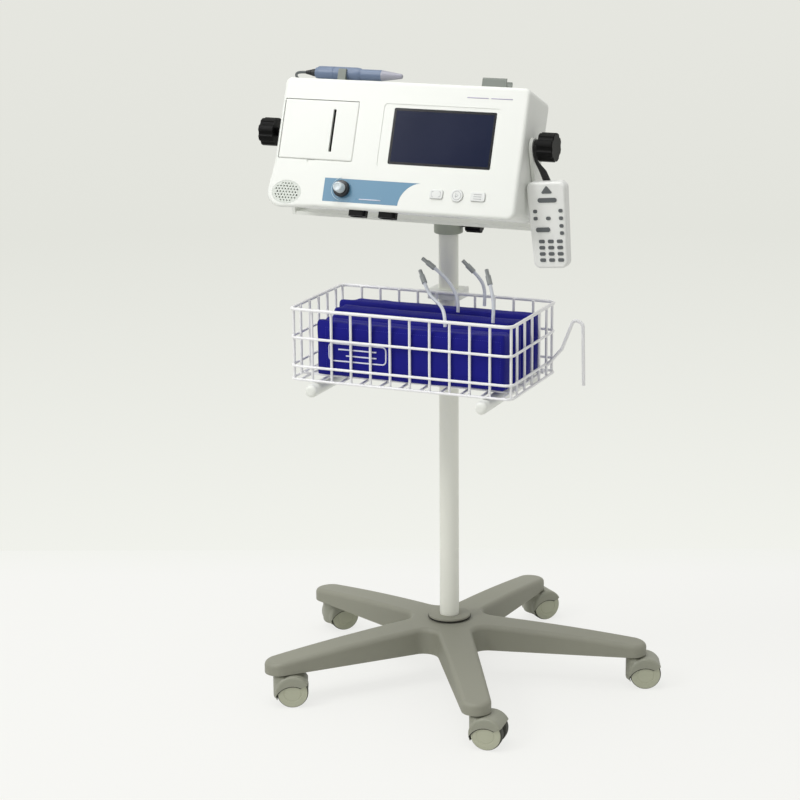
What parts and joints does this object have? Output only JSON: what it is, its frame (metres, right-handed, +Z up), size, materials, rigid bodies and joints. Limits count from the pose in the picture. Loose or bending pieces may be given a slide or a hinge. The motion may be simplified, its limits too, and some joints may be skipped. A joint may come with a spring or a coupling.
{
  "type": "ultrasound machine",
  "caption": "Tilting vascular ultrasound console with screen, printer and pencil probe on a rolling pole stand with a wire basket of pressure cuffs and a hanging remote.",
  "frame": {"origin": "centre of the circle of caster stems, on the floor under the pole", "axes": "+Z up along the pole, the console's screen faces -Y, +X to the right of somebody who looks at the screen"},
  "size_m": [0.6169, 0.6091, 0.9648],
  "materials": {
    "base_paint": "satin",
    "pole_paint": "satin",
    "wire_white": "gloss",
    "clamp_gray": "satin",
    "caster_gray": "satin",
    "wheel_gray": "matte",
    "steel": "satin",
    "cuff_fabric": "woven",
    "hose_blue": "matte",
    "connector_gray": "satin",
    "case_white": "satin",
    "screen": "gloss",
    "black_plastic": "matte",
    "panel_blue": "satin",
    "knob_gray": "satin",
    "key_gray": "satin",
    "paper": "matte",
    "roller": "matte",
    "board": "satin",
    "holder_gray": "satin",
    "probe_blue": "satin",
    "cable_gray": "matte",
    "remote_white": "satin",
    "remote_dark": "matte",
    "strap_black": "matte"
  },
  "bodies": {
    "root": {"base_star": "base_paint", "base_collar": "black_plastic", "pole": "pole_paint", "pole_fixings": "steel", "caster_stems": "steel", "basket_front": "wire_white", "basket_back": "wire_white", "basket_sides": "wire_white", "basket_floor": "wire_white", "basket_bracket": "clamp_gray", "hose_hook": "wire_white", "cuff_1": "cuff_fabric", "cuff_2": "cuff_fabric", "cuff_3": "cuff_fabric", "cuff_4": "cuff_fabric", "hose_1": "hose_blue", "hose_2": "hose_blue", "hose_3": "hose_blue", "hose_4": "hose_blue", "hose_connectors": "connector_gray"},
    "caster_1": {"caster_1_housing": "caster_gray"},
    "wheels_1": {"caster_1_wheels": "wheel_gray"},
    "caster_2": {"caster_2_housing": "caster_gray"},
    "wheels_2": {"caster_2_wheels": "wheel_gray"},
    "caster_3": {"caster_3_housing": "caster_gray"},
    "wheels_3": {"caster_3_wheels": "wheel_gray"},
    "caster_4": {"caster_4_housing": "caster_gray"},
    "wheels_4": {"caster_4_wheels": "wheel_gray"},
    "caster_5": {"caster_5_housing": "caster_gray"},
    "wheels_5": {"caster_5_wheels": "wheel_gray"},
    "head": {"pole_head": "clamp_gray", "yoke": "case_white"},
    "head_screw": {"head_screw": "black_plastic"},
    "console": {"front_shell": "case_white", "rear_shell": "case_white", "display_module": "black_plastic", "display_window": "screen", "control_overlay": "panel_blue", "speaker": "knob_gray", "printer_frame": "black_plastic", "circuit_boards": "board", "probe_holders": "holder_gray", "probe_sockets": "black_plastic", "console_screws": "steel", "probe_cable": "cable_gray", "probe_cable_coil": "cable_gray"},
    "tilt_knob_left": {"tilt_knob_left": "black_plastic"},
    "tilt_knob_right": {"tilt_knob_right": "black_plastic"},
    "control_knob": {"control_knob": "knob_gray"},
    "key_left": {"key_left": "key_gray"},
    "key_middle": {"key_middle": "key_gray"},
    "key_right": {"key_right": "key_gray"},
    "printer_cover": {"printer_cover": "case_white"},
    "paper_roll": {"paper_roll": "paper"},
    "platen_roller": {"platen_roller": "roller"},
    "probe": {"probe": "probe_blue"},
    "remote": {"remote_case": "remote_white", "remote_keypad": "remote_dark", "remote_strap": "strap_black"}
  },
  "joints": [
    {"name": "caster_1_swivel", "type": "hinge", "parent": "root", "child": "caster_1", "pos_m": [-0.19383, -0.21301, 0.045], "axis": [0, 0, 1], "continuous": true},
    {"name": "caster_1_roll", "type": "hinge", "parent": "caster_1", "child": "wheels_1", "pos_m": [-0.1757, -0.20456, 0.024], "axis": [0.4226, -0.9063, 0], "continuous": true},
    {"name": "caster_2_swivel", "type": "hinge", "parent": "root", "child": "caster_2", "pos_m": [0.14269, -0.25017, 0.045], "axis": [0, 0, 1], "continuous": true},
    {"name": "caster_2_roll", "type": "hinge", "parent": "caster_2", "child": "wheels_2", "pos_m": [0.16262, -0.24842, 0.024], "axis": [0.0872, -0.9962, 0], "continuous": true},
    {"name": "caster_3_swivel", "type": "hinge", "parent": "root", "child": "caster_3", "pos_m": [0.28202, 0.0584, 0.045], "axis": [0, 0, 1], "continuous": true},
    {"name": "caster_3_roll", "type": "hinge", "parent": "caster_3", "child": "wheels_3", "pos_m": [0.30056, 0.06589, 0.024], "axis": [0.3746, -0.9272, 0], "continuous": true},
    {"name": "caster_4_swivel", "type": "hinge", "parent": "root", "child": "caster_4", "pos_m": [0.0316, 0.28626, 0.045], "axis": [0, 0, 1], "continuous": true},
    {"name": "caster_4_roll", "type": "hinge", "parent": "caster_4", "child": "wheels_4", "pos_m": [0.04446, 0.30158, 0.024], "axis": [0.766, -0.6428, 0], "continuous": true},
    {"name": "caster_5_swivel", "type": "hinge", "parent": "root", "child": "caster_5", "pos_m": [-0.26248, 0.11852, 0.045], "axis": [0, 0, 1], "continuous": true},
    {"name": "caster_5_roll", "type": "hinge", "parent": "caster_5", "child": "wheels_5", "pos_m": [-0.24834, 0.13266, 0.024], "axis": [0.7071, -0.7071, 0], "continuous": true},
    {"name": "head_swivel", "type": "hinge", "parent": "root", "child": "head", "pos_m": [0, 0, 0.72], "axis": [0, 0, 1], "continuous": true},
    {"name": "head_screw_turn", "type": "hinge", "parent": "head", "child": "head_screw", "pos_m": [0.04, 0, 0.719], "axis": [1, 0, 0], "range_deg": [0, 180]},
    {"name": "console_tilt", "type": "hinge", "parent": "head", "child": "console", "pos_m": [0, -0.15854, 0.86855], "axis": [1, 0, 0], "range_deg": [-25, 21]},
    {"name": "tilt_knob_left_turn", "type": "hinge", "parent": "console", "child": "tilt_knob_left", "pos_m": [-0.21, -0.15854, 0.86855], "axis": [1, 0, 0], "range_deg": [0, 180]},
    {"name": "tilt_knob_right_turn", "type": "hinge", "parent": "console", "child": "tilt_knob_right", "pos_m": [0.21, -0.15854, 0.86855], "axis": [1, 0, 0], "range_deg": [0, 180]},
    {"name": "control_knob_turn", "type": "hinge", "parent": "console", "child": "control_knob", "pos_m": [-0.0759, -0.222, 0.80369], "axis": [0, -0.9336, 0.3584], "continuous": true},
    {"name": "key_left_press", "type": "slide", "parent": "console", "child": "key_left", "axis": [0, 0.9336, -0.3584], "range_m": [0, 0.0008], "stiffness_N_per_m": 800, "springref_m": -0.0005},
    {"name": "key_middle_press", "type": "slide", "parent": "console", "child": "key_middle", "axis": [0, 0.9336, -0.3584], "range_m": [0, 0.0008], "stiffness_N_per_m": 800, "springref_m": -0.0005},
    {"name": "key_right_press", "type": "slide", "parent": "console", "child": "key_right", "axis": [0, 0.9336, -0.3584], "range_m": [0, 0.0008], "stiffness_N_per_m": 800, "springref_m": -0.0005},
    {"name": "printer_cover_hinge", "type": "hinge", "parent": "console", "child": "printer_cover", "pos_m": [-0.125, -0.16967, 0.9177], "axis": [1, 0, 0], "range_deg": [-95, 0]},
    {"name": "paper_roll_spin", "type": "hinge", "parent": "console", "child": "paper_roll", "pos_m": [-0.148, -0.1528, 0.86678], "axis": [0, 0.3584, 0.9336], "continuous": true},
    {"name": "platen_spin", "type": "hinge", "parent": "console", "child": "platen_roller", "pos_m": [-0.112, -0.1738, 0.87484], "axis": [0, 0.3584, 0.9336], "continuous": true},
    {"name": "probe_lift", "type": "slide", "parent": "console", "child": "probe", "axis": [0, 0.3584, 0.9336], "range_m": [0, 0.025]},
    {"name": "remote_swing", "type": "hinge", "parent": "head", "child": "remote", "pos_m": [0.2, -0.15854, 0.86855], "axis": [1, 0, 0], "range_deg": [-60, 0]}
  ],
  "couplings": [
    {"joint": "platen_spin", "follows": "paper_roll_spin", "ratio": 4}
  ]
}
